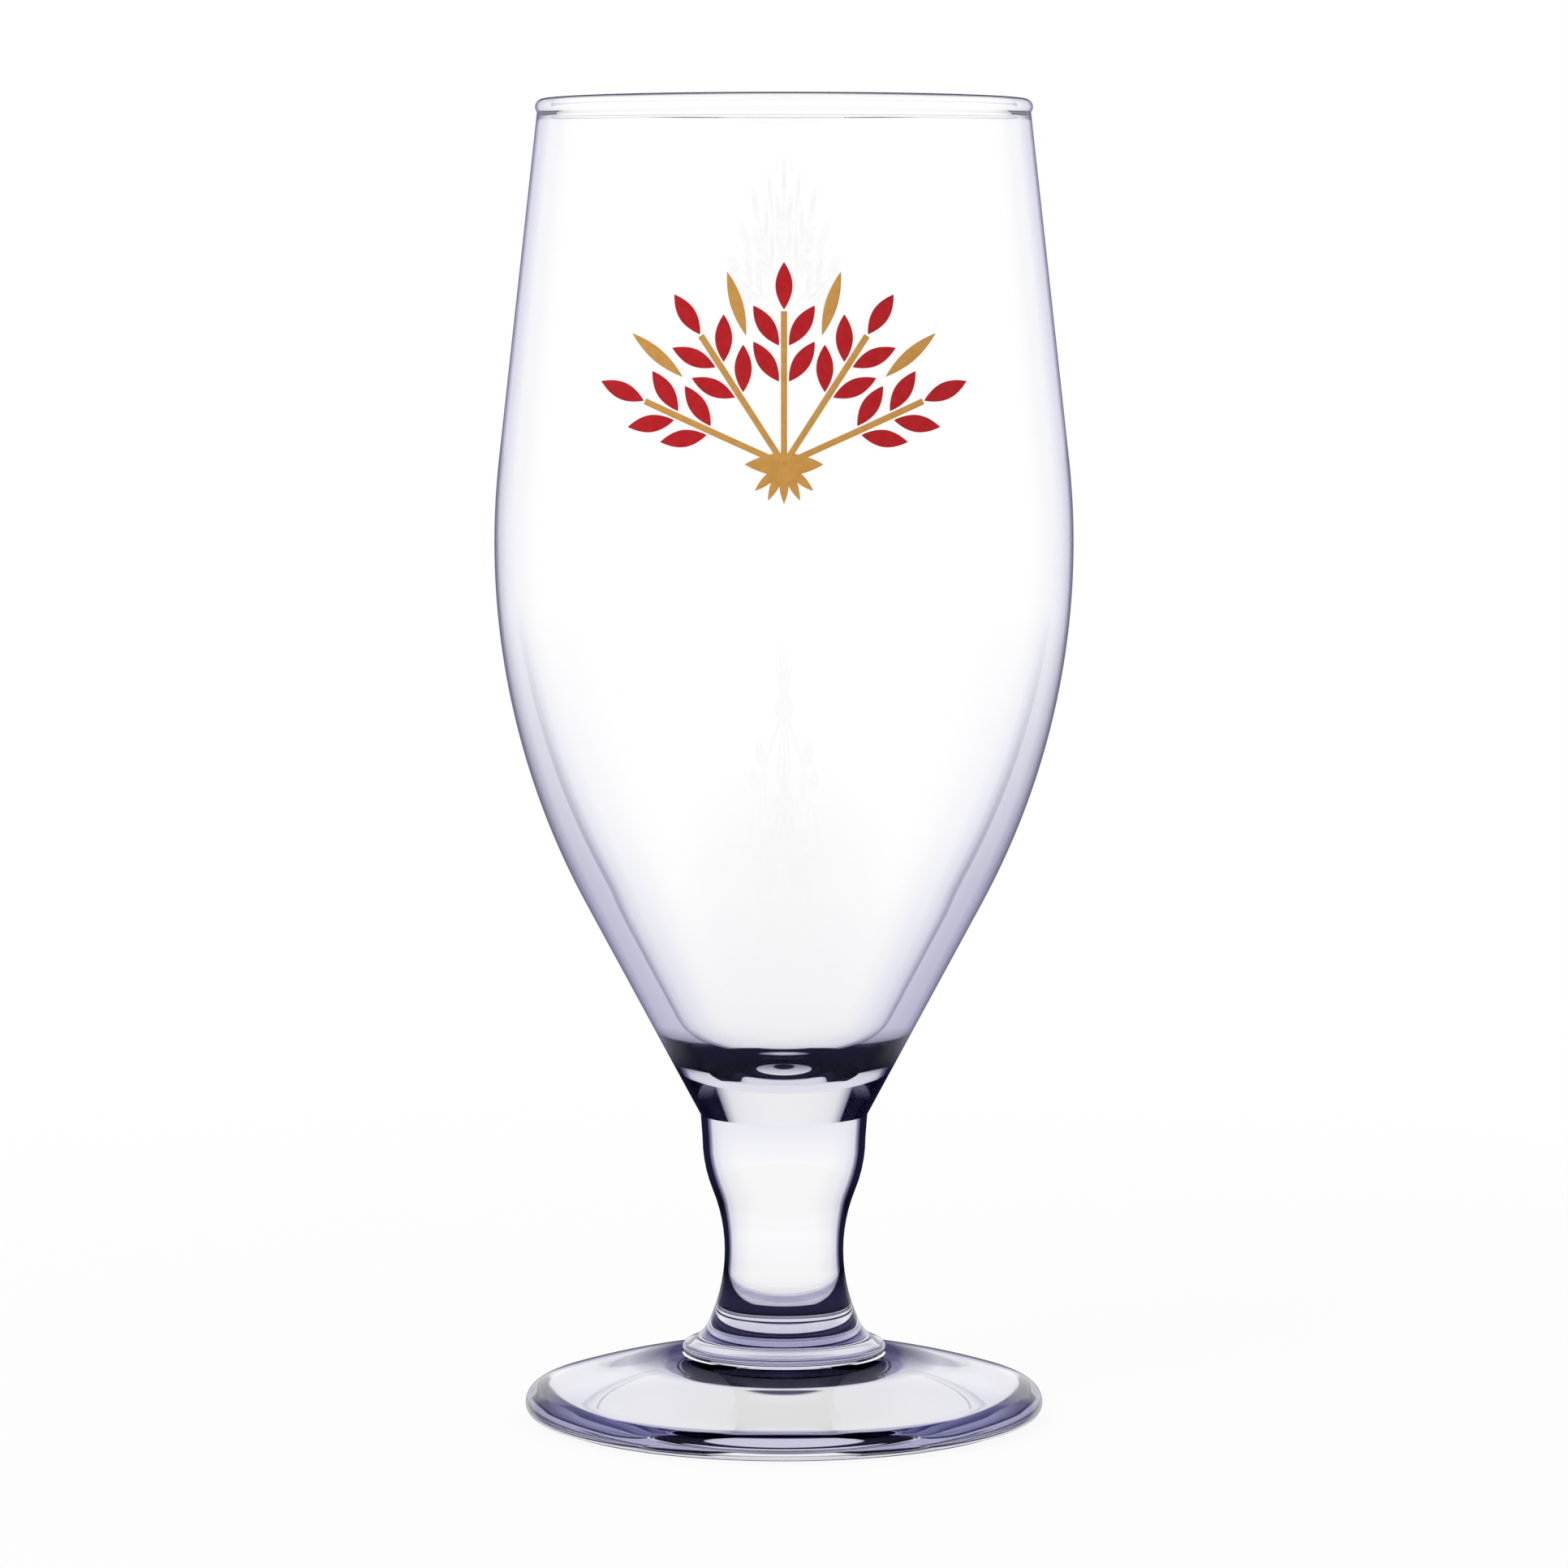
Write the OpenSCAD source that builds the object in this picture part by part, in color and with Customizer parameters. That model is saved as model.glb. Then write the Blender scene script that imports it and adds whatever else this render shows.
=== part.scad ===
// Stemmed beer glass: a tulip-shaped pilsner bowl on a short pressed stem and a round foot.
// Millimetres. The origin is on the table under the axis, +Z points up, the print faces -Y.

/* [Bowl] */
// Height of the bowl, from its seam with the stem to the top of the rim
bowl_h = 136.6; // [128:0.2:160]
// Outer radius of the wall just under the rim
rim_r = 33; // [30:0.1:36]
// Thickness of the wall at the rim
rim_wall_t = 1.6; // [1.2:0.1:2.4]
// How far the fire-polished rim stands out from the wall on each side
rim_proud = 0.25; // [0.1:0.05:0.5]
// Largest outer radius, at the belly
belly_r = 38.9; // [36:0.1:42]
// Height of the widest place above the seam
belly_up = 77.1; // [74:0.1:88]
// Share of the wall's height between belly and rim that is a straight taper
taper_share = 0.8; // [0.5:0.05:0.9]
// Lean of the straight lower wall away from the upright, in degrees
lower_lean = 28.2; // [26:0.1:32]
// Thickness of the wall at the belly
belly_wall_t = 2.2; // [1.6:0.1:3]
// Thickness of the straight lower wall
lower_wall_t = 3.6; // [2.5:0.1:4.5]
// How far the hollow's widest place lies above the belly's
hollow_up = 2.6; // [0:0.1:5]
// Thickness of the solid glass under the hollow
base_t = 6; // [4:0.5:9]
// Radius of the flat middle of the hollow's round bottom
floor_flat_r = 1.6; // [1:0.1:3]

/* [Stem] */
// Height of the stem, from its seam with the foot to its seam with the bowl
stem_h = 32.65; // [29:0.05:50]
// Radius of the seam between the stem and the bowl
seam_r = 11.3; // [10:0.1:13]
// Height of the slight taper between the shoulder and the seam
shoulder_taper_h = 3.25; // [2:0.05:5]
// How much narrower the shoulder is than the seam
shoulder_step = 0.25; // [0.1:0.05:0.6]
// Radius of the stem at its waist
waist_r = 8.05; // [6.5:0.05:9]
// Height of the waist above the foot's seam
waist_up = 14; // [12:0.5:15]
// Share of the curve from waist to shoulder that belongs to the waist
waist_share = 0.54; // [0.4:0.02:0.6]
// Radius of the flare that runs out into the flange
flare_arc_r = 4.5; // [3:0.1:6]
// Radius of the flange that is welded to the foot
flange_r = 13.8; // [13:0.1:16]
// Thickness of the flange at its round edge
flange_t = 1.6; // [1.2:0.1:2.4]

/* [Foot] */
// Height of the foot at the stem's seam
foot_h = 8.75; // [7:0.05:12]
// Radius of the foot
foot_r = 35.1; // [32:0.1:38]
// Height of the foot's widest place
foot_edge_up = 2.1; // [1.7:0.1:2.8]
// Radius of the round above the widest place
foot_edge_top_r = 2.3; // [1.6:0.1:2.6]
// Radius of the round below the widest place
foot_edge_low_r = 1.5; // [1:0.1:1.6]
// Radius of the crown of the foot's upper face, seen from the side
foot_crown_r = 110; // [90:1:400]
// Distance from the foot's outer edge in to the flat ring that the glass stands on
rest_inset = 3; // [2.6:0.1:5]
// Width of the flat ring that the glass stands on
rest_w = 1.2; // [1:0.1:2.5]
// Height of the recess under the foot
recess_h = 3.9; // [2.5:0.1:4.4]
// Slope of the recess's cone, in degrees from level
recess_lean = 15; // [13:0.5:20]
// Radius of the round between the recess's cone and its flat roof
recess_round_r = 12; // [4:0.5:16]

/* [Print] */
// Thickness of the fired enamel
enamel_t = 0.15; // [0.1:0.05:0.3]
// Height of the sheaf's tie above the bowl's seam
print_up = 89; // [84:0.1:100]
// Number of ears in the sheaf
ear_count = 5; // [3:1:5]
// Angle from one ear to the next, in degrees
ear_angle = 33; // [32:0.5:34]
// Number of grain pairs in an ear
pair_count = 2; // [1:1:3]
// Length of bare stalk between the tie and an ear's first pair of grains
stalk_h = 10.6; // [10:0.1:12]
// Distance from one pair of grains to the next
grain_pitch = 4.6; // [4.4:0.1:6]
// Length of a grain
grain_l = 6; // [4.5:0.1:6.4]
// Width of a grain
grain_w = 2.2; // [1.4:0.1:2.3]
// Angle between a grain and its stalk, in degrees
grain_tilt = 33; // [32:0.5:34]
// Width of a stalk
stalk_w = 0.8; // [0.4:0.1:0.9]
// Bare gap between a grain and its stalk
grain_gap = 0.25; // [0.2:0.05:0.5]
// Length of the tie
tie_l = 10; // [8:0.2:12]
// Width of the tie
tie_w = 3; // [2:0.1:4]
// Length of a stalk's tail below the tie
tail_l = 5; // [4:0.1:7]
// Width of a stalk's tail
tail_w = 1.2; // [0.8:0.1:1.4]
// Angle from one tail to the next, in degrees
tail_angle = 24; // [18:1:30]
// Distance from the tie up to the gold leaves between the ears
leaf_up = 17.2; // [16.5:0.1:19]
// Length of a gold leaf
leaf_l = 8.4; // [5:0.1:9]
// Width of a gold leaf
leaf_w = 1.6; // [0.8:0.1:1.7]

/* [Hidden] */
$fn = 96;
arc_steps = 30;
short_arc_steps = 10;
// Angle, in degrees, at which the flange's round edge runs into the flare above it
flare_lean = 74.6;
// Largest share of its room that the flare may take on a narrow flange
flare_limit_share = 0.9;
leaf_steps = 5;
clear_glass = [0.82, 0.84, 0.93, 0.45];
enamel_red = [0.70, 0.11, 0.13];
enamel_gold = [0.80, 0.60, 0.30];

seam_z = foot_h + stem_h;
glass_h = seam_z + bowl_h;
belly_z = seam_z + belly_up;
floor_z = seam_z + base_t;
waist_z = foot_h + waist_up;
print_z = seam_z + print_up;

// Points of a round stretch, from angle a0 to angle a1
function arc(c, r, a0, a1, steps) =
    [for (i = [0 : steps]) let (a = a0 + (a1 - a0) * i / steps) c + r * [cos(a), sin(a)]];

function heading(v) = atan2(v.y, v.x);

// Angle on a circle where the straight line from point p touches it: side 1 is ahead, side -1 behind
function touch(c, r, p, side) = heading(p - c) + side * acos(r / norm(p - c));

// Radius of the curve between the straight lower wall, wall_t inside the outer face, and a widest
// place with radius r that lies up above the seam
function belly_arc_r(r, up, wall_t) =
    (up * sin(lower_lean) - (r - seam_r) * cos(lower_lean) - wall_t) / (1 - cos(lower_lean));

// Angle through which the curve above a widest place turns into the straight taper under the rim
function taper_a(side_r, rim_side_r, wall_h) =
    2 * atan((side_r - rim_side_r) / (wall_h * (1 + taper_share)));

// Where two circles cross, on the left of the way from the first to the second
function crossing(c1, r1, c2, r2) =
    let (way = c2 - c1)
    let (d = norm(way))
    let (along = (r1 * r1 - r2 * r2 + d * d) / (2 * d))
    let (across = sqrt(r1 * r1 - along * along))
    c1 + along / d * way + across / d * [-way.y, way.x];

// The rim is a bead, a little thicker than the wall under it
bead_r = rim_wall_t / 2 + rim_proud;
bead_c = [rim_r - rim_wall_t / 2, glass_h - bead_r];
bead_a = acos(rim_wall_t / 2 / bead_r);
rim_z = bead_c.y - bead_r * sin(bead_a);
seam_edge = [seam_r, seam_z];

// Outside of the bowl: straight lower wall, long arc to the belly, shorter arc, straight taper
outer_arc_r = belly_arc_r(belly_r, belly_up, 0);
outer_taper_a = taper_a(belly_r, rim_r, rim_z - belly_z);
upper_arc_r = (rim_z - belly_z) * (1 - taper_share) / sin(outer_taper_a);
wall_lower = arc([belly_r - outer_arc_r, belly_z], outer_arc_r, -lower_lean, 0, arc_steps);
wall_upper = concat(
    arc([belly_r - upper_arc_r, belly_z], upper_arc_r, 0, outer_taper_a, short_arc_steps),
    [[rim_r, rim_z]]);

// Inside of the bowl: the same forms over a round bottom
hollow_r = belly_r - belly_wall_t;
hollow_z = belly_z + hollow_up;
inner_arc_r = belly_arc_r(hollow_r, belly_up + hollow_up, lower_wall_t);
inner_taper_a = taper_a(hollow_r, rim_r - rim_wall_t, rim_z - hollow_z);
inner_upper_arc_r = (rim_z - hollow_z) * (1 - taper_share) / sin(inner_taper_a);
bottom_in = base_t * sin(lower_lean) - lower_wall_t + (seam_r - floor_flat_r) * cos(lower_lean);
bottom_r = bottom_in / (1 - sin(lower_lean));
bottom_c = [floor_flat_r, floor_z + bottom_r];
hollow = concat(
    arc(bottom_c, bottom_r, -90, -lower_lean, arc_steps),
    arc([hollow_r - inner_arc_r, hollow_z], inner_arc_r, -lower_lean, 0, arc_steps),
    arc([hollow_r - inner_upper_arc_r, hollow_z], inner_upper_arc_r, 0, inner_taper_a, short_arc_steps));

bowl_outline = concat(
    [[0, seam_z], seam_edge],
    wall_lower,
    wall_upper,
    arc(bead_c, bead_r, -bead_a, 180 + bead_a, arc_steps),
    [for (i = [len(hollow) - 1 : -1 : 0]) hollow[i]],
    [[0, floor_z]]);

// The flange has a round edge, and a small flare leads from it up into the waist's long curve
flange_edge_r = flange_t / 2;
flange_c = [flange_r - flange_edge_r, foot_h + flange_edge_r];
flare_room = flange_c.x - waist_r + flange_edge_r * cos(flare_lean);
flare_r = min(flare_arc_r, flare_limit_share * flare_room / (1 - cos(flare_lean)));
flare_c = flange_c + (flange_edge_r + flare_r) * [cos(flare_lean), sin(flare_lean)];

// The long curve starts upright at the waist and runs tangent into the flare
waist_in = waist_r - flare_c.x;
waist_over = waist_z - flare_c.y;
low_arc_r = (flare_r * flare_r - waist_in * waist_in - waist_over * waist_over) / (2 * (waist_in + flare_r));
low_arc_c = [waist_r + low_arc_r, waist_z];
low_arc_a = 360 + heading(flare_c - low_arc_c);

// Two arcs lead from the waist up to the shoulder, and a slight taper to the seam
shoulder_z = seam_z - shoulder_taper_h;
shoulder_r = seam_r - shoulder_step;
swing_a = 2 * atan((shoulder_r - waist_r) / (shoulder_z - waist_z));
swing_r = (shoulder_z - waist_z) / sin(swing_a);
high_arc_r = waist_share * swing_r;
shoulder_arc_r = swing_r - high_arc_r;

stem_outline = concat(
    [[0, foot_h]],
    arc(flange_c, flange_edge_r, -90, flare_lean, short_arc_steps),
    arc(flare_c, flare_r, 180 + flare_lean, low_arc_a, short_arc_steps),
    arc(low_arc_c, low_arc_r, low_arc_a, 180, arc_steps),
    arc([waist_r + high_arc_r, waist_z], high_arc_r, 180, 180 - swing_a, short_arc_steps),
    arc([shoulder_r - shoulder_arc_r, shoulder_z], shoulder_arc_r, -swing_a, 0, short_arc_steps),
    [seam_edge, [0, seam_z]]);

// Outline of the foot: recess with a cone round a flat roof, resting ring, round edge, low crown
edge_low_c = [foot_r - foot_edge_low_r, foot_edge_up];
edge_top_c = [foot_r - foot_edge_top_r, foot_edge_up];
seat_edge = [flange_r, foot_h];
crown_c = crossing(edge_top_c, foot_crown_r - foot_edge_top_r, seat_edge, foot_crown_r);
rest_r = foot_r - rest_inset;
edge_low_a = touch(edge_low_c, foot_edge_low_r, [rest_r, 0], 1);
rest_in_r = rest_r - rest_w;
recess_flat_r = rest_in_r - recess_h / tan(recess_lean) - recess_round_r * tan(recess_lean / 2);
recess_round_c = [recess_flat_r, recess_h - recess_round_r];

foot_outline = concat(
    [[0, recess_h]],
    arc(recess_round_c, recess_round_r, 90, 90 - recess_lean, short_arc_steps),
    [[rest_in_r, 0], [rest_r, 0]],
    arc(edge_low_c, foot_edge_low_r, edge_low_a, 0, short_arc_steps),
    arc(edge_top_c, foot_edge_top_r, 0, heading(edge_top_c - crown_c), short_arc_steps),
    arc(crown_c, foot_crown_r, heading(edge_top_c - crown_c), heading(seat_edge - crown_c), short_arc_steps),
    [[0, foot_h]]);

// Skin of enamel on the upper half of the bowl, to be cut to the print's shapes
enamel_outline = concat(
    wall_upper,
    [for (i = [len(wall_upper) - 1 : -1 : 0]) wall_upper[i] + [enamel_t, 0]]);

// Pointed leaf of length l and width w that grows from the origin along +Y
module leaf(l, w) {
    polygon(concat(
        [for (i = [0 : leaf_steps]) [w / 2 * sin(180 * i / leaf_steps), l * i / leaf_steps]],
        [for (i = [leaf_steps - 1 : -1 : 1]) [-w / 2 * sin(180 * i / leaf_steps), l * i / leaf_steps]]));
}

// Repeats its children once for each ear of the sheaf, fanned out about the tie
module fan(count, step_angle) {
    for (i = [0 : count - 1]) {
        rotate((i - (count - 1) / 2) * step_angle) children();
    }
}

module ear_grains() {
    for (i = [0 : pair_count - 1], side = [-1, 1]) {
        translate([side * (stalk_w / 2 + grain_gap), stalk_h + i * grain_pitch])
            rotate(-side * grain_tilt)
                leaf(grain_l, grain_w);
    }
    translate([0, stalk_h + pair_count * grain_pitch])
        leaf(grain_l, grain_w);
}

module stalk() {
    translate([-stalk_w / 2, 0])
        square([stalk_w, stalk_h + pair_count * grain_pitch - grain_gap]);
}

module sheaf_red() {
    fan(ear_count, ear_angle) ear_grains();
}

module sheaf_gold() {
    fan(ear_count, ear_angle) stalk();
    fan(ear_count - 1, ear_angle) translate([0, leaf_up]) leaf(leaf_l, leaf_w);
    translate([-tie_l / 2, 0]) rotate(-90) leaf(tie_l, tie_w);
    rotate(180) fan(ear_count, tail_angle) leaf(tail_l, tail_w);
}

// Cuts the enamel skin to a flat shape that is projected onto the front of the bowl
module on_bowl() {
    intersection() {
        rotate_extrude() polygon(enamel_outline);
        translate([0, 0, print_z])
            rotate([90, 0, 0])
                linear_extrude(belly_r + belly_wall_t)
                    children();
    }
}

module bowl() {
    color(clear_glass) rotate_extrude() polygon(bowl_outline);
}

module stem() {
    color(clear_glass) rotate_extrude() polygon(stem_outline);
}

module foot() {
    color(clear_glass) rotate_extrude() polygon(foot_outline);
}

module print_red() {
    color(enamel_red) on_bowl() sheaf_red();
}

module print_gold() {
    color(enamel_gold) on_bowl() sheaf_gold();
}

bowl();
stem();
foot();
print_red();
print_gold();
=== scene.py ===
"""Stemmed pilsner glass: smooth lathe-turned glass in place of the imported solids, with a fired print."""
import math

import bpy
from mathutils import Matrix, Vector


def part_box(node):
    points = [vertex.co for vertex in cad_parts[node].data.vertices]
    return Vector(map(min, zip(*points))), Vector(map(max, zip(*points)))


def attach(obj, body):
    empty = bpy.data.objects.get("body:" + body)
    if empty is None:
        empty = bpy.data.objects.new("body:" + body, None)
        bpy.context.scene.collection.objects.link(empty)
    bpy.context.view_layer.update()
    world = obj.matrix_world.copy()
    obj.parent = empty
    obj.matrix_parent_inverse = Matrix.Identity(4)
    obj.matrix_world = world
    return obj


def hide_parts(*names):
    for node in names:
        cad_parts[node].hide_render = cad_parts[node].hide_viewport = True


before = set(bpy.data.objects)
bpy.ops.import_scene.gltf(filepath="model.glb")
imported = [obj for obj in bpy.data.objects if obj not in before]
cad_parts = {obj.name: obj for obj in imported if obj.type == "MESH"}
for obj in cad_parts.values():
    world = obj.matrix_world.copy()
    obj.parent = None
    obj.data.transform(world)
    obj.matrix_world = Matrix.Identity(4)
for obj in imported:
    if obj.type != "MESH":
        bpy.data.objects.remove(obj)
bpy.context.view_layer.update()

MM = 0.001

# Sizes that the frame gives
glass_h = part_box("bowl")[1].z
seam_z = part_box("bowl")[0].z
belly_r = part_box("bowl")[1].x
foot_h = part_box("stem")[0].z
flange_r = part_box("stem")[1].x
foot_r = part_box("foot")[1].x

# Bowl
rim_r = 33 * MM
rim_wall_t = 1.6 * MM
rim_proud = 0.25 * MM
belly_z = seam_z + 77.1 * MM
taper_share = 0.8
lower_lean = math.radians(28.2)
belly_wall_t = 2.2 * MM
lower_wall_t = 3.6 * MM
hollow_up = 2.6 * MM
base_t = 6 * MM
floor_flat_r = 1.6 * MM

# Stem
seam_r = 11.3 * MM
shoulder_taper_h = 3.25 * MM
shoulder_step = 0.25 * MM
waist_r = 8.05 * MM
waist_up = 14 * MM
waist_share = 0.54
flare_r = 4.5 * MM
flare_lean = math.radians(74.6)
flange_edge_r = 0.8 * MM

# Foot
foot_edge_up = 2.1 * MM
foot_edge_top_r = 2.3 * MM
foot_edge_low_r = 1.5 * MM
foot_crown_r = 110 * MM
rest_inset = 3 * MM
rest_w = 1.2 * MM
recess_h = 3.9 * MM
recess_lean = math.radians(15)
recess_round_r = 12 * MM

# Print
enamel_out = 0.12 * MM
enamel_in = 0.05 * MM
drop_edge = 0.4
print_z = seam_z + 89 * MM
ear_count = 5
ear_angle = math.radians(33)
pair_count = 2
stalk_h = 10.6 * MM
grain_pitch = 4.6 * MM
grain_l = 6 * MM
grain_w = 2.2 * MM
grain_tilt = math.radians(33)
stalk_w = 0.8 * MM
grain_gap = 0.25 * MM
tie_l = 10 * MM
tie_w = 3 * MM
tail_l = 5 * MM
tail_w = 1.2 * MM
tail_angle = math.radians(24)
leaf_up = 17.2 * MM
leaf_l = 8.4 * MM
leaf_w = 1.6 * MM
leaf_fullness = 0.85
leaf_tip_w = 0.03 * MM

# Mesh fineness
TURNS = 256
STEP = 1.5 * MM
STEP_TURN = math.radians(7.5)
STEP_SLACK = 0.01
PRINT_ACROSS = 8
PRINT_STEP = 0.35 * MM
SHARP = math.radians(35)
SAME_POINT = 0.001 * MM
SAME_HEIGHT = 0.0001 * MM

# Camera, from the photograph's perspective
PHOTO_PX = 1932
SENSOR_MM = 36
FOCAL_PX = 7415.6
CAMERA_PLACE = (0, -0.809, 0.1537)
CAMERA_PITCH = math.radians(4.77)


# Outlines: lists of (radius, height) points


def arc(centre, r, a0, a1):
    """Points of a round stretch from angle a0 to angle a1, in radians."""
    steps = max(math.ceil(abs(a1 - a0) * r / STEP), math.ceil(abs(a1 - a0) / STEP_TURN))
    turns = [a0 + (a1 - a0) * i / steps for i in range(steps + 1)]
    return [(centre[0] + r * math.cos(a), centre[1] + r * math.sin(a)) for a in turns]


def joined(*stretches):
    """One outline from several stretches: long straight runs are divided and doubled points dropped."""
    points = [stretches[0][0]]
    for target in [p for stretch in stretches for p in stretch]:
        start = points[-1]
        length = math.dist(start, target)
        if length < SAME_POINT:
            continue
        steps = math.ceil(length / STEP - STEP_SLACK)
        for i in range(1, steps + 1):
            t = i / steps
            points.append((start[0] + (target[0] - start[0]) * t,
                           start[1] + (target[1] - start[1]) * t))
    return points


def heading(a, b):
    """Angle of the way from a to b, in radians."""
    return math.atan2(b[1] - a[1], b[0] - a[0])


def lower_arc_r(r, z, wall_t):
    """Radius of the curve between the straight lower wall and a widest place of radius r at height z."""
    rise = (z - seam_z) * math.sin(lower_lean) - (r - seam_r) * math.cos(lower_lean)
    return (rise - wall_t) / (1 - math.cos(lower_lean))


def upper_wall(r, z, rim_side_r, rim_z):
    """The short arc above a widest place and the straight taper up to the rim."""
    turn = 2 * math.atan((r - rim_side_r) / ((rim_z - z) * (1 + taper_share)))
    arc_r = (rim_z - z) * (1 - taper_share) / math.sin(turn)
    return arc((r - arc_r, z), arc_r, 0, turn) + [(rim_side_r, rim_z)]


def bowl_outlines():
    """The outer face from the seam up, the rim, and the inner face from the rim down to the axis."""
    bead_r = rim_wall_t / 2 + rim_proud
    bead_turn = math.acos(rim_wall_t / 2 / bead_r)
    bead_centre = (rim_r - rim_wall_t / 2, glass_h - bead_r)
    rim_z = bead_centre[1] - bead_r * math.sin(bead_turn)
    outer_r = lower_arc_r(belly_r, belly_z, 0)
    outside = joined(
        [(seam_r, seam_z)],
        arc((belly_r - outer_r, belly_z), outer_r, -lower_lean, 0),
        upper_wall(belly_r, belly_z, rim_r, rim_z))
    hollow_r = belly_r - belly_wall_t
    hollow_z = belly_z + hollow_up
    inner_r = lower_arc_r(hollow_r, hollow_z, lower_wall_t)
    bottom_in = (base_t * math.sin(lower_lean) - lower_wall_t
                 + (seam_r - floor_flat_r) * math.cos(lower_lean))
    bottom_r = bottom_in / (1 - math.sin(lower_lean))
    bottom = (floor_flat_r, seam_z + base_t + bottom_r)
    inside = joined(
        [(0, seam_z + base_t)],
        arc(bottom, bottom_r, -math.pi / 2, -lower_lean),
        arc((hollow_r - inner_r, hollow_z), inner_r, -lower_lean, 0),
        upper_wall(hollow_r, hollow_z, rim_r - rim_wall_t, rim_z))
    rim = arc(bead_centre, bead_r, -bead_turn, math.pi + bead_turn)
    return outside, rim, inside[::-1]


def stem_outline():
    """Side of the stem from the foot's seam up to the bowl's seam."""
    waist_z = foot_h + waist_up
    edge = (flange_r - flange_edge_r, foot_h + flange_edge_r)
    reach = flange_edge_r + flare_r
    flare = (edge[0] + reach * math.cos(flare_lean), edge[1] + reach * math.sin(flare_lean))
    across, over = waist_r - flare[0], waist_z - flare[1]
    low_r = (flare_r ** 2 - across ** 2 - over ** 2) / (2 * (across + flare_r))
    low = (waist_r + low_r, waist_z)
    low_turn = heading(low, flare) + 2 * math.pi
    shoulder_z = seam_z - shoulder_taper_h
    shoulder_r = seam_r - shoulder_step
    swing = 2 * math.atan((shoulder_r - waist_r) / (shoulder_z - waist_z))
    swing_r = (shoulder_z - waist_z) / math.sin(swing)
    high_r = waist_share * swing_r
    top_r = swing_r - high_r
    return joined(
        arc(edge, flange_edge_r, -math.pi / 2, flare_lean),
        arc(flare, flare_r, math.pi + flare_lean, low_turn),
        arc(low, low_r, low_turn, math.pi),
        arc((waist_r + high_r, waist_z), high_r, math.pi, math.pi - swing),
        arc((shoulder_r - top_r, shoulder_z), top_r, -swing, 0),
        [(seam_r, seam_z)])


def foot_outlines():
    """The foot's hollow underside with its resting ring, and its side from there up to the stem."""
    rest_r = foot_r - rest_inset
    rest_in_r = rest_r - rest_w
    round_r = rest_in_r - recess_h / math.tan(recess_lean) - recess_round_r * math.tan(recess_lean / 2)
    recess_round = (round_r, recess_h - recess_round_r)
    low = (foot_r - foot_edge_low_r, foot_edge_up)
    top = (foot_r - foot_edge_top_r, foot_edge_up)
    seat = (flange_r, foot_h)
    rest_edge = (rest_r, 0)
    low_turn = heading(low, rest_edge) + math.acos(foot_edge_low_r / math.dist(low, rest_edge))
    d = math.dist(top, seat)
    reach = foot_crown_r - foot_edge_top_r
    along = (reach ** 2 - foot_crown_r ** 2 + d ** 2) / (2 * d)
    across = math.sqrt(reach ** 2 - along ** 2)
    way = ((seat[0] - top[0]) / d, (seat[1] - top[1]) / d)
    crown = (top[0] + along * way[0] - across * way[1],
             top[1] + along * way[1] + across * way[0])
    underside = joined(
        [(0, recess_h)],
        arc(recess_round, recess_round_r, math.pi / 2, math.pi / 2 - recess_lean),
        [(rest_in_r, 0), rest_edge])
    side = joined(
        [rest_edge],
        arc(low, foot_edge_low_r, low_turn, 0),
        arc(top, foot_edge_top_r, 0, heading(crown, top)),
        arc(crown, foot_crown_r, heading(crown, top), heading(crown, seat)))
    return underside, side


# Meshes


def make_object(name, points, faces, materials, face_materials=None):
    """A smooth mesh object with its sharp edges kept; face_materials numbers each face's material."""
    mesh = bpy.data.meshes.new(name)
    mesh.from_pydata(points, [], faces)
    for material in materials:
        mesh.materials.append(material)
    if face_materials:
        mesh.polygons.foreach_set("material_index", face_materials)
    mesh.polygons.foreach_set("use_smooth", [True] * len(mesh.polygons))
    mesh.set_sharp_from_angle(angle=SHARP)
    mesh.update()
    piece = bpy.data.objects.new(name, mesh)
    bpy.context.scene.collection.objects.link(piece)
    return piece


def lathe(name, outline, materials, seams=(), rim_from=math.inf):
    """Turns an outline that starts and ends on the axis into a closed mesh.

    seams are heights at which a flat inner disc gets the second material. Faces above the height
    rim_from get the third, and those below it where the outline runs down the fourth.
    """
    rings = [p for p in outline if p[0] > SAME_HEIGHT]
    points = [(0, 0, outline[0][1]), (0, 0, outline[-1][1])]
    for r, z in rings:
        for j in range(TURNS):
            turn = 2 * math.pi * j / TURNS
            points.append((r * math.cos(turn), r * math.sin(turn), z))
    faces, kinds = [], []

    def kind(z0, z1):
        if any(abs(z0 - z) < SAME_HEIGHT and abs(z1 - z) < SAME_HEIGHT for z in seams):
            return 1
        if min(z0, z1) > rim_from - SAME_HEIGHT:
            return 2
        return 3 if z1 < z0 and rim_from < math.inf else 0

    def ring_point(i, j):
        return 2 + i * TURNS + j % TURNS

    last = len(rings) - 1
    for j in range(TURNS):
        faces.append((0, ring_point(0, j + 1), ring_point(0, j)))
        kinds.append(kind(outline[0][1], rings[0][1]))
        for i in range(last):
            faces.append((ring_point(i, j), ring_point(i, j + 1),
                          ring_point(i + 1, j + 1), ring_point(i + 1, j)))
            kinds.append(kind(rings[i][1], rings[i + 1][1]))
        faces.append((1, ring_point(last, j), ring_point(last, j + 1)))
        kinds.append(kind(rings[last][1], outline[-1][1]))
    return make_object(name, points, faces, materials, kinds)


# Materials

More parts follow.
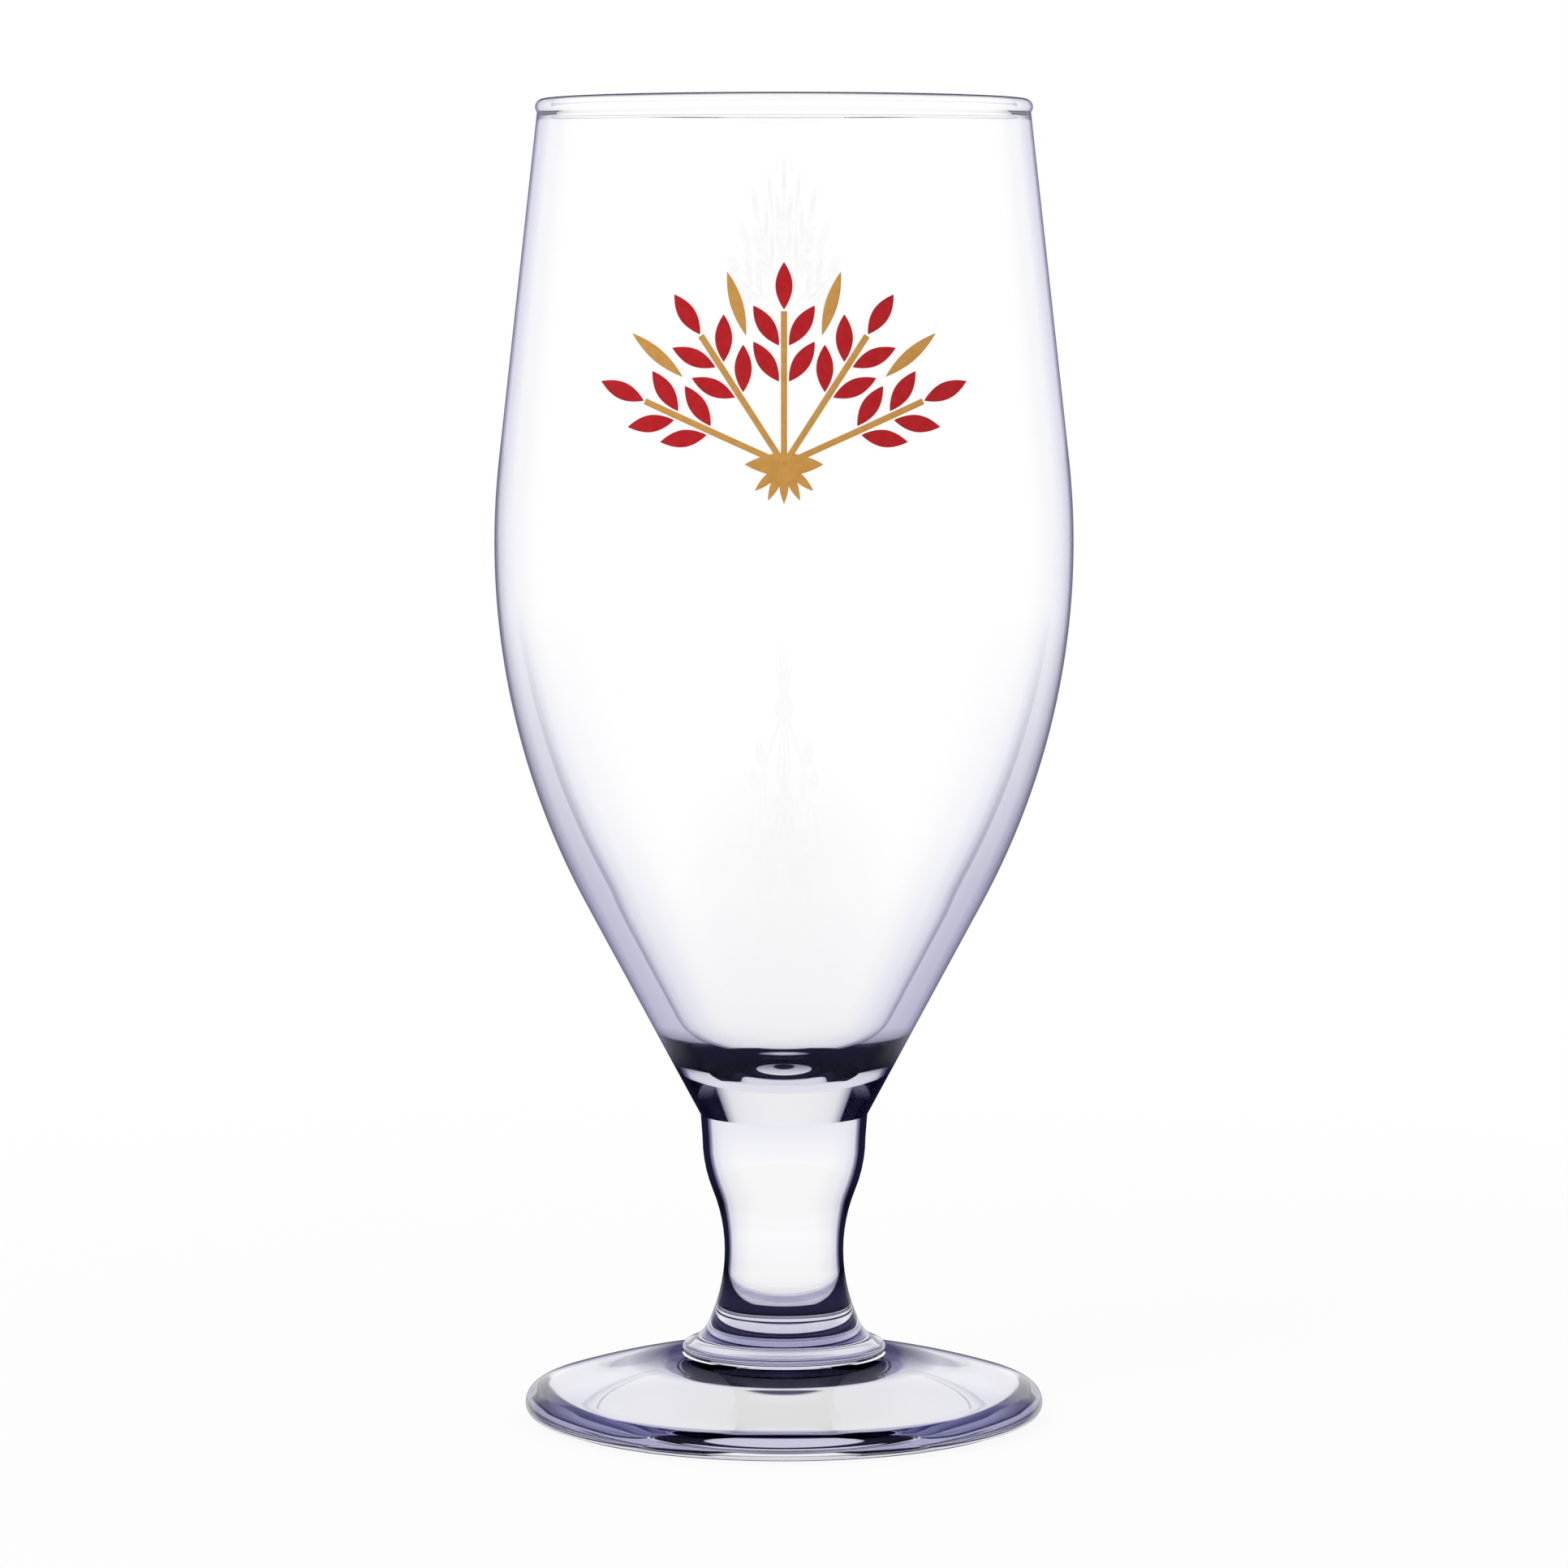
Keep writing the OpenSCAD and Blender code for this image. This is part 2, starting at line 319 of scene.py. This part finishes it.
# Colours of painted shade on the glass, from none to the deepest; they stand in for the dark surroundings
# that glass refracts and mirrors
WHITE = (1, 1, 1)
CLEAR = WHITE
PALE = (0.93, 0.93, 0.97)
FAINT = (0.86, 0.86, 0.93)
MILD = (0.82, 0.82, 0.89)
LILAC = (0.60, 0.60, 0.73)
SMOKY = (0.50, 0.50, 0.64)
BLUISH = (0.40, 0.40, 0.55)
DUSKY = (0.24, 0.24, 0.38)
DARK = (0.08, 0.08, 0.17)
NAVY = (0.008, 0.008, 0.03)

# Light that passes a face, by how far the face turns away: painted shade that darkens edges and the thick
# base, stem and foot in place of dark surroundings seen through them, with a little of the real tint of long
# paths through glass
NO_TINT = [(0, CLEAR), (1, CLEAR)]
UPPER_THROUGH = [(0.45, CLEAR), (0.62, PALE), (0.81, (0.86, 0.86, 0.92)), (0.87, SMOKY), (0.92, DUSKY)]
LOWER_THROUGH = [(0.25, CLEAR), (0.50, PALE), (0.67, MILD), (0.76, LILAC), (0.83, DUSKY), (0.90, DARK)]
BASE_THROUGH = [(0.30, PALE), (0.52, (0.88, 0.88, 0.94)), (0.62, MILD), (0.70, DUSKY), (0.78, NAVY)]
SEAM_THROUGH = [(0.35, FAINT), (0.50, MILD), (0.57, DUSKY), (0.63, NAVY)]
STEM_THROUGH = [(0.15, CLEAR), (0.35, PALE), (0.50, MILD), (0.57, DUSKY), (0.63, NAVY)]
FLANGE_THROUGH = [(0.25, (0.62, 0.62, 0.76)), (0.55, PALE), (0.85, MILD), (0.96, DUSKY)]
SEAT_THROUGH = [(0.50, CLEAR), (0.70, SMOKY), (0.85, DARK)]
FOOT_THROUGH = [(0.88, CLEAR), (0.92, DUSKY), (0.96, NAVY)]

# What is left of what the outside mirrors, in the same way: painted reflection, dark where the white
# surround is mirrored, in place of dark surroundings
WALL_SHINE = [(0.45, CLEAR), (0.65, PALE), (0.80, (0.60, 0.60, 0.72)), (0.93, DUSKY)]
LOWER_SHINE = [(0.45, (0.20, 0.20, 0.36)), (0.65, SMOKY), (0.80, SMOKY), (0.93, DUSKY)]
THICK_SHINE = [(0.25, DUSKY), (0.50, DARK), (0.65, (0.02, 0.02, 0.06))]
SEAT_SHINE = [(0, DARK), (1, DARK)]
FOOT_SHINE = [(0.45, DUSKY), (0.66, BLUISH), (0.76, CLEAR), (0.90, CLEAR), (0.95, DUSKY), (0.98, NAVY)]

# What is left of light each time that a face throws it back inside the glass: painted shade, near black in
# the base and stem, in place of the dark surroundings that such light reaches
UPPER_THROWN = (0.95, 0.95, 0.97)
LOWER_THROWN = (0.65, 0.65, 0.76)
BASE_THROWN = (0.012, 0.012, 0.04)
BOTTOM_THROWN = (0.85, 0.85, 0.90)
BOTTOM_SIDE_THROWN = (0.14, 0.14, 0.26)
STEM_THROWN = (0.008, 0.008, 0.03)
FLANGE_THROWN = (0.012, 0.012, 0.045)
FOOT_THROWN = (0.92, 0.92, 0.955)
EDGE_THROWN = (0.26, 0.26, 0.40)
EDGE_LOW_THROWN = (0.08, 0.08, 0.17)
CROWN_THROWN = (0.72, 0.72, 0.82)
THICK_GLINT = (0.50, 0.50, 0.72)

# Heights between which one painted shade goes over into the next
FLARE_Z = (13 * MM, 20 * MM)
SHOULDER_Z = 36 * MM
BASE_Z = (48 * MM, 53 * MM)
WALL_Z = (75 * MM, 110 * MM)
BOTTOM_Z = (49.3 * MM, 50.7 * MM)
SEAT_Z = (7.5 * MM, 8.5 * MM)
EDGE_Z = (1 * MM, 3.5 * MM, 4.8 * MM, 6 * MM)

# Start and end of other changes of painted shade: how far a face turns away, or how far it looks up
THROWN_BACK = (0.20, 0.255)
LINE_FACING = (0.25, 0.45)
LINE_UPRIGHT = (0.6, 0.9)
BOTTOM_UPRIGHT = (-0.5, -0.7)
EDGE_UPRIGHT = (0.85, 0.60)

# Painted shade: a dark line along the top of the rim, where it turns away
RIM_PAINTED_SHADE = (0.03, 0.03, 0.09)
GLASS_IOR = 1.5

# Enamel
RED, DEEP_RED = (0.49, 0.012, 0.017), (0.43, 0.008, 0.012)
GOLD, DEEP_GOLD = (0.61, 0.315, 0.075), (0.55, 0.275, 0.06)
ENAMEL_ROUGHNESS = 0.35
ENAMEL_IOR = 1.5
ENAMEL_SPECULAR = 0.15
SPECKLE_SCALE = 900
SPECKLE_DETAIL = 3
SPECKLE_STOPS = (0.3, 0.7)
SWELL_SCALE = 350
SWELL_STRENGTH = 0.15
SWELL_DEPTH = 0.1 * MM


def new_material(name):
    material = bpy.data.materials.new(name)
    material.use_nodes = True
    nodes, links = material.node_tree.nodes, material.node_tree.links
    return material, nodes, links, nodes["Principled BSDF"]


def ramp(nodes, links, value, stops, interpolation="EASE"):
    """Output of a colour ramp over value, with stops of (place, colour)."""
    node = nodes.new("ShaderNodeValToRGB")
    node.color_ramp.interpolation = interpolation
    elements = node.color_ramp.elements
    while len(elements) < len(stops):
        elements.new(0.5)
    for element, (place, colour) in zip(elements, stops):
        element.position = place
        element.color = (*colour, 1)
    links.new(value, node.inputs["Fac"])
    return node.outputs["Color"]


def mixed(nodes, links, factor, a, b, blend="MIX"):
    """Output of a colour mix; a and b are colours or outputs."""
    node = nodes.new("ShaderNodeMix")
    node.data_type = "RGBA"
    node.blend_type = blend
    for socket, value in (("Factor", factor), ("A", a), ("B", b)):
        if isinstance(value, bpy.types.NodeSocket):
            links.new(value, node.inputs[socket])
        elif socket == "Factor":
            node.inputs[socket].default_value = value
        else:
            node.inputs[socket].default_value = (*value, 1)
    return node.outputs["Result"]


def stepped(nodes, links, value, start, end, low=0, smooth=False):
    """Output that goes from low to 1 as value goes from start to end."""
    node = nodes.new("ShaderNodeMapRange")
    if smooth:
        node.interpolation_type = "SMOOTHSTEP"
    node.inputs["From Min"].default_value = start
    node.inputs["From Max"].default_value = end
    node.inputs["To Min"].default_value = low
    links.new(value, node.inputs["Value"])
    return node.outputs["Result"]


def computed(nodes, links, operation, a, b):
    """Output of a sum, product or the like of two outputs."""
    node = nodes.new("ShaderNodeMath")
    node.operation = operation
    links.new(a, node.inputs[0])
    links.new(b, node.inputs[1])
    return node.outputs["Value"]


def height_of(nodes, links, vector):
    """Output of a vector's upright part."""
    node = nodes.new("ShaderNodeSeparateXYZ")
    links.new(vector, node.inputs["Vector"])
    return node.outputs["Z"]


def shaders_mixed(nodes, links, factor, a, b):
    """Makes the surface a mix of two shaders: a where factor is 0, b where it is 1."""
    node = nodes.new("ShaderNodeMixShader")
    links.new(factor, node.inputs["Fac"])
    links.new(a, node.inputs[1])
    links.new(b, node.inputs[2])
    links.new(node.outputs["Shader"], nodes["Material Output"].inputs["Surface"])


def glass_material(name, levels, other_throw=None, top_line=None):
    """Clear glass with painted shade and painted reflection: tints by how far a face turns away and by
    height stand in for the dark surroundings that glass refracts and mirrors; a little of them is the real
    tint of long paths through glass.

    levels are (height, through, shine, thrown, glint) from the lowest up, with the values in between
    blended: stops for the painted shade of the light that passes a face, by how far it turns away; the
    same for the painted reflection of what its outside mirrors; the painted shade left of light each time
    that it is thrown back inside the glass; and what is left of the little that a face mirrors inside
    where it lets most light out, also painted shade. other_throw is (start, end, (height, colour), ...):
    thrown changes to those colours as the way that the inside of a face looks goes from start to end.
    top_line is the colour of a painted dark line of shade along a round top edge, where it turns away.
    """
    material, nodes, links, shader = new_material(name)
    nodes.remove(shader)
    turned = nodes.new("ShaderNodeLayerWeight")
    turned.inputs["Blend"].default_value = 0.5
    facing = turned.outputs["Facing"]
    geometry = nodes.new("ShaderNodeNewGeometry")
    place_z = height_of(nodes, links, geometry.outputs["Position"])
    upright = height_of(nodes, links, geometry.outputs["Normal"])
    inner = geometry.outputs["Backfacing"]

    def blended(heights, values):
        blend = values[0]
        for i in range(1, len(heights)):
            share = stepped(nodes, links, place_z, heights[i - 1], heights[i])
            blend = mixed(nodes, links, share, blend, values[i])
        return blend

    heights, *kinds = zip(*levels)
    through, shine = (blended(heights, [ramp(nodes, links, facing, stops) for stops in kind])
                      for kind in kinds[:2])
    thrown, glint = (blended(heights, kind) for kind in kinds[2:])
    if other_throw:
        start, end, *others = other_throw
        other = blended(*zip(*others))
        thrown = mixed(nodes, links, stepped(nodes, links, upright, start, end), thrown, other)
    thrown = mixed(nodes, links, stepped(nodes, links, facing, *THROWN_BACK), glint, thrown)
    if top_line:
        line = computed(nodes, links, "MULTIPLY", stepped(nodes, links, upright, *LINE_UPRIGHT),
                        stepped(nodes, links, facing, *LINE_FACING))
        through, shine = (mixed(nodes, links, line, c, top_line) for c in (through, shine))
    bent = nodes.new("ShaderNodeBsdfRefraction")
    bent.inputs["Roughness"].default_value = 0
    bent.inputs["IOR"].default_value = GLASS_IOR
    links.new(mixed(nodes, links, inner, through, CLEAR), bent.inputs["Color"])
    mirror = nodes.new("ShaderNodeBsdfAnisotropic")
    mirror.inputs["Roughness"].default_value = 0
    links.new(mixed(nodes, links, inner, shine, thrown), mirror.inputs["Color"])
    share = nodes.new("ShaderNodeFresnel")
    share.inputs["IOR"].default_value = GLASS_IOR
    shaders_mixed(nodes, links, share.outputs["Fac"], bent.outputs["BSDF"], mirror.outputs["BSDF"])
    return material


def joint_material():
    """The faces where two glass pieces are fused: no light bends there."""
    material, nodes, links, shader = new_material("fused_joint")
    clear = nodes.new("ShaderNodeBsdfTransparent")
    links.new(clear.outputs["BSDF"], nodes["Material Output"].inputs["Surface"])
    return material


def enamel_material(name, light, dark):
    """Fired enamel: glossy, a little uneven in colour and level."""
    material, nodes, links, shader = new_material(name)
    place = nodes.new("ShaderNodeTexCoord")
    speckle = nodes.new("ShaderNodeTexNoise")
    speckle.inputs["Scale"].default_value = SPECKLE_SCALE
    speckle.inputs["Detail"].default_value = SPECKLE_DETAIL
    links.new(place.outputs["Object"], speckle.inputs["Vector"])
    colour = ramp(nodes, links, speckle.outputs["Fac"], list(zip(SPECKLE_STOPS, (dark, light))))
    links.new(colour, shader.inputs["Base Color"])
    shader.inputs["Roughness"].default_value = ENAMEL_ROUGHNESS
    shader.inputs["IOR"].default_value = ENAMEL_IOR
    shader.inputs["Specular IOR Level"].default_value = ENAMEL_SPECULAR
    swell = nodes.new("ShaderNodeTexNoise")
    swell.inputs["Scale"].default_value = SWELL_SCALE
    links.new(place.outputs["Object"], swell.inputs["Vector"])
    bump = nodes.new("ShaderNodeBump")
    bump.inputs["Strength"].default_value = SWELL_STRENGTH
    bump.inputs["Distance"].default_value = SWELL_DEPTH
    links.new(swell.outputs["Fac"], bump.inputs["Height"])
    links.new(bump.outputs["Normal"], shader.inputs["Normal"])
    return material


def bowl_glass_material(name, through, shine):
    """Glass of the bowl: its solid base, the lower wall, and the upper wall, each with its own painted shade
    and painted reflection.
    """
    return glass_material(name, [
        (BASE_Z[0], BASE_THROUGH, THICK_SHINE, BASE_THROWN, THICK_GLINT),
        (BASE_Z[1], LOWER_THROUGH, LOWER_SHINE, LOWER_THROWN, THICK_GLINT),
        (WALL_Z[0], LOWER_THROUGH, WALL_SHINE, LOWER_THROWN, CLEAR),
        (WALL_Z[1], through, shine, UPPER_THROWN, CLEAR),
    ], (*BOTTOM_UPRIGHT, (BOTTOM_Z[0], BOTTOM_THROWN), (BOTTOM_Z[1], BOTTOM_SIDE_THROWN)))


# The glass's tints below are painted shade and painted reflection, by part and height
bowl_glass = bowl_glass_material("bowl_glass", UPPER_THROUGH, WALL_SHINE)
hollow_glass = bowl_glass_material("hollow_glass", NO_TINT, NO_TINT)
rim_glass = glass_material(
    "rim_glass", [(0, UPPER_THROUGH, WALL_SHINE, UPPER_THROWN, CLEAR)], top_line=RIM_PAINTED_SHADE)
stem_glass = glass_material("stem_glass", [
    (FLARE_Z[0], FLANGE_THROUGH, FOOT_SHINE, FLANGE_THROWN, THICK_GLINT),
    (FLARE_Z[1], STEM_THROUGH, THICK_SHINE, STEM_THROWN, THICK_GLINT),
    (SHOULDER_Z, STEM_THROUGH, THICK_SHINE, STEM_THROWN, THICK_GLINT),
    (seam_z, SEAM_THROUGH, THICK_SHINE, STEM_THROWN, THICK_GLINT)])
foot_glass = glass_material("foot_glass", [
    (SEAT_Z[0], FOOT_THROUGH, FOOT_SHINE, FOOT_THROWN, THICK_GLINT),
    (SEAT_Z[1], SEAT_THROUGH, SEAT_SHINE, FOOT_THROWN, THICK_GLINT),
], (*EDGE_UPRIGHT, *zip(EDGE_Z, (EDGE_LOW_THROWN, EDGE_THROWN, EDGE_THROWN, CROWN_THROWN))))
fused = joint_material()
red_enamel = enamel_material("red_enamel", RED, DEEP_RED)
gold_enamel = enamel_material("gold_enamel", GOLD, DEEP_GOLD)

# Glass

outside, rim, inside = bowl_outlines()
bowl_line = joined([(0, seam_z)], outside, rim, inside)
bowl = lathe("bowl_glass_body", bowl_line, [bowl_glass, fused, rim_glass, hollow_glass], seams=(seam_z,),
             rim_from=rim[0][1])
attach(bowl, "root")
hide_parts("bowl")

stem_line = joined([(0, foot_h)], stem_outline(), [(0, seam_z)])
stem = lathe("stem_glass_body", stem_line, [stem_glass, fused], seams=(foot_h, seam_z))
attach(stem, "root")
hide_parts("stem")

underside, side = foot_outlines()
foot_line = joined(underside, side, [(0, foot_h)])
foot = lathe("foot_glass_body", foot_line, [foot_glass, fused], seams=(foot_h,))
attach(foot, "root")
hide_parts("foot")

# Print


def wall_r(z):
    """Radius of the bowl's outer face at height z."""
    for (r0, z0), (r1, z1) in zip(outside, outside[1:]):
        if z0 <= z <= z1:
            return r0 + (r1 - r0) * (z - z0) / (z1 - z0)
    raise ValueError("no wall at this height")


def on_wall(x, z, out):
    """A point of the flat design laid around the front of the wall, and out from it."""
    r = wall_r(z)
    turn = math.asin(x / r)
    return ((r + out) * math.sin(turn), -(r + out) * math.cos(turn), z)


def strip(points, faces, start, turn, length, half_width):
    """Adds one closed drop of enamel: its middle line leaves start at an angle from upright."""
    along = (math.sin(turn), math.cos(turn))
    steps = math.ceil(length / PRINT_STEP)
    first = len(points)
    row = 2 * (PRINT_ACROSS + 1)
    for i in range(steps + 1):
        t = i / steps
        s = t * length
        w = half_width(t)
        for face in (1, -1):
            for k in range(PRINT_ACROSS + 1):
                share = (2 * k / PRINT_ACROSS - 1) * face
                x = start[0] + along[0] * s + along[1] * w * share
                z = start[1] + along[1] * s - along[0] * w * share
                swell = drop_edge + (1 - drop_edge) * math.sqrt(1 - share ** 4)
                points.append(on_wall(x, z, enamel_out * swell if face == 1 else -enamel_in))
    for i in range(steps):
        for k in range(row):
            a = first + i * row + k
            b = first + i * row + (k + 1) % row
            faces.append((a, b, b + row, a + row))
    faces.append(tuple(first + k for k in reversed(range(row))))
    faces.append(tuple(first + steps * row + k for k in range(row)))


def leaf_width(w):
    """Half the width of a drop, w wide in the middle and pointed at its ends, by the share of its length."""
    return lambda t: max(0.5 * w * math.sin(math.pi * t) ** leaf_fullness, leaf_tip_w)


def even_width(w):
    return lambda t: 0.5 * w


def polar(origin, turn, r, side=0):
    """A point r out along a line at turn from upright, and side across it."""
    return (origin[0] + r * math.sin(turn) + side * math.cos(turn),
            origin[1] + r * math.cos(turn) - side * math.sin(turn))


def fan(angle):
    """Turns of ear_count lines that lie that angle apart, evenly to both sides of upright."""
    return [(i - (ear_count - 1) / 2) * angle for i in range(ear_count)]


def print_pieces():
    """Points and faces of the sheaf: its red grains, and its gold stalks, leaves, tie and tails."""
    root = (0, print_z)
    red, gold = ([], []), ([], [])
    ear_h = stalk_h + pair_count * grain_pitch
    turns = fan(ear_angle)
    for turn in turns:
        for pair in range(pair_count):
            up = stalk_h + pair * grain_pitch
            for side in (-1, 1):
                start = polar(root, turn, up, side * (stalk_w / 2 + grain_gap))
                strip(*red, start, turn + side * grain_tilt, grain_l, leaf_width(grain_w))
        strip(*red, polar(root, turn, ear_h), turn, grain_l, leaf_width(grain_w))
        strip(*gold, root, turn, ear_h - grain_gap, even_width(stalk_w))
    for left, right in zip(turns, turns[1:]):
        between = (left + right) / 2
        strip(*gold, polar(root, between, leaf_up), between, leaf_l, leaf_width(leaf_w))
    strip(*gold, (-tie_l / 2, print_z), math.pi / 2, tie_l, leaf_width(tie_w))
    for turn in fan(tail_angle):
        strip(*gold, root, math.pi + turn, tail_l, leaf_width(tail_w))
    return red, gold


red, gold = print_pieces()
red_print = make_object("red_print", red[0], red[1], [red_enamel])
gold_print = make_object("gold_print", gold[0], gold[1], [gold_enamel])
for piece, node, slot in ((red_print, "print_red", "enamel_red"),
                          (gold_print, "print_gold", "enamel_gold")):
    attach(piece, "root")
    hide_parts(node)

# Stage: a pale floor that runs out into a white surround

FLOOR_R = 1.5
FLOOR_RINGS = 24
FLOOR_SIDES = 64
FLOOR_GROWTH = 1.5
FLOOR_DROP = 0.1 * MM
FLOOR_COLOUR = (0.9, 0.9, 0.9)
FLOOR_GLOW = 0.92
GLOW_R = (0.06, 0.45)
# Painted shadow: a dark patch on the floor under the stem, which the glass shows
PAINTED_SHADOW_R = (4 * MM, 6 * MM)
PAINTED_SHADOW_COLOUR = (0.02, 0.02, 0.05)

SKY_MID = (0.40, 0.40, 0.54)
SKY_DARK = (0.02, 0.02, 0.05)
SKY = [(0, WHITE), (0.78, WHITE), (0.84, SKY_MID), (0.90, SKY_DARK)]
WORLD_LEVEL = (0.75, 0.75, 0.75)

KEY_PLACE = (-0.9, -1.1, 1.3)
KEY_TARGET = (0, 0, 0.1)
KEY_SIZE = 0.9
KEY_POWER = 9


def sight(nodes, links):
    """Outputs that are 1 where the camera looks, and where it looks in a mirror or through glass."""
    path = nodes.new("ShaderNodeLightPath")
    glass = computed(nodes, links, "MAXIMUM",
                     path.outputs["Is Glossy Ray"], path.outputs["Is Transmission Ray"])
    return path.outputs["Is Camera Ray"], glass


def floor_material():
    """Matt and pale, with a painted shadow: a dark patch under the stem; to the eye it glows, and the more
    so far from the glass.
    """
    material, nodes, links, shader = new_material("pale_floor")
    nodes.remove(shader)
    place = nodes.new("ShaderNodeNewGeometry")
    across = nodes.new("ShaderNodeVectorMath")
    across.operation = "LENGTH"
    links.new(place.outputs["Position"], across.inputs[0])
    distance = across.outputs["Value"]
    spread = stepped(nodes, links, distance, *GLOW_R, low=FLOOR_GLOW, smooth=True)
    # Painted shadow: the floor turns dark under the stem, in its matt colour and its glow
    under = stepped(nodes, links, distance, *PAINTED_SHADOW_R, smooth=True)
    shadow = mixed(nodes, links, under, PAINTED_SHADOW_COLOUR, WHITE)
    seen = computed(nodes, links, "MAXIMUM", *sight(nodes, links))
    glow = nodes.new("ShaderNodeEmission")
    glow.inputs["Strength"].default_value = 1
    links.new(shadow, glow.inputs["Color"])
    matt = nodes.new("ShaderNodeBsdfDiffuse")
    links.new(mixed(nodes, links, 1, FLOOR_COLOUR, shadow, "MULTIPLY"), matt.inputs["Color"])
    share = computed(nodes, links, "MULTIPLY", seen, spread)
    shaders_mixed(nodes, links, share, matt.outputs["BSDF"], glow.outputs["Emission"])
    return material


def make_floor():
    points, faces = [(0, 0, 0)], []
    for i in range(1, FLOOR_RINGS + 1):
        r = FLOOR_R * (i / FLOOR_RINGS) ** FLOOR_GROWTH
        for j in range(FLOOR_SIDES):
            turn = 2 * math.pi * j / FLOOR_SIDES
            points.append((r * math.cos(turn), r * math.sin(turn), 0))
    for j in range(FLOOR_SIDES):
        k = (j + 1) % FLOOR_SIDES
        faces.append((0, 1 + j, 1 + k))
        for i in range(FLOOR_RINGS - 1):
            a, b = 1 + i * FLOOR_SIDES, 1 + (i + 1) * FLOOR_SIDES
            faces.append((a + j, b + j, b + k, a + k))
    floor = make_object("floor", points, faces, [floor_material()])
    floor.location.z = -FLOOR_DROP


def make_world():
    """Even light on matt surfaces; glass sees white all round and a darker, bluish ceiling."""
    world = bpy.data.worlds.new("studio")
    bpy.context.scene.world = world
    world.use_nodes = True
    nodes, links = world.node_tree.nodes, world.node_tree.links
    place = nodes.new("ShaderNodeTexCoord")
    height = stepped(nodes, links, height_of(nodes, links, place.outputs["Generated"]), -1, 1)
    camera_ray, glass_ray = sight(nodes, links)
    sky = ramp(nodes, links, height, SKY, "LINEAR")
    level = mixed(nodes, links, glass_ray, WORLD_LEVEL, sky)
    links.new(mixed(nodes, links, camera_ray, level, WHITE), nodes["Background"].inputs["Color"])
    nodes["Background"].inputs["Strength"].default_value = 1


def make_lamp(name, place, target, size, power):
    """A round lamp that glass doesn't show."""
    lamp = bpy.data.lights.new(name, "AREA")
    lamp.shape = "DISK"
    lamp.size = size
    lamp.energy = power
    lamp_object = bpy.data.objects.new(name, lamp)
    bpy.context.scene.collection.objects.link(lamp_object)
    lamp_object.visible_glossy = False
    lamp_object.visible_transmission = False
    lamp_object.location = place
    way = Vector(target) - Vector(place)
    lamp_object.rotation_euler = way.to_track_quat("-Z", "Y").to_euler()


make_floor()
make_world()
make_lamp("key", KEY_PLACE, KEY_TARGET, KEY_SIZE, KEY_POWER)

# Camera

camera = bpy.data.cameras.new("camera")
camera.lens = FOCAL_PX * SENSOR_MM / PHOTO_PX
camera.sensor_width = SENSOR_MM
camera.dof.use_dof = False
camera_object = bpy.data.objects.new("camera", camera)
bpy.context.scene.collection.objects.link(camera_object)
camera_object.location = CAMERA_PLACE
camera_object.rotation_euler = (math.pi / 2 - CAMERA_PITCH, 0, 0)
bpy.context.scene.camera = camera_object

bpy.context.scene.view_settings.view_transform = "Standard"

# Light is thrown back many times inside solid glass
MAX_BOUNCES = 28
THROWS = 12
bpy.context.scene.cycles.max_bounces = MAX_BOUNCES
bpy.context.scene.cycles.glossy_bounces = THROWS
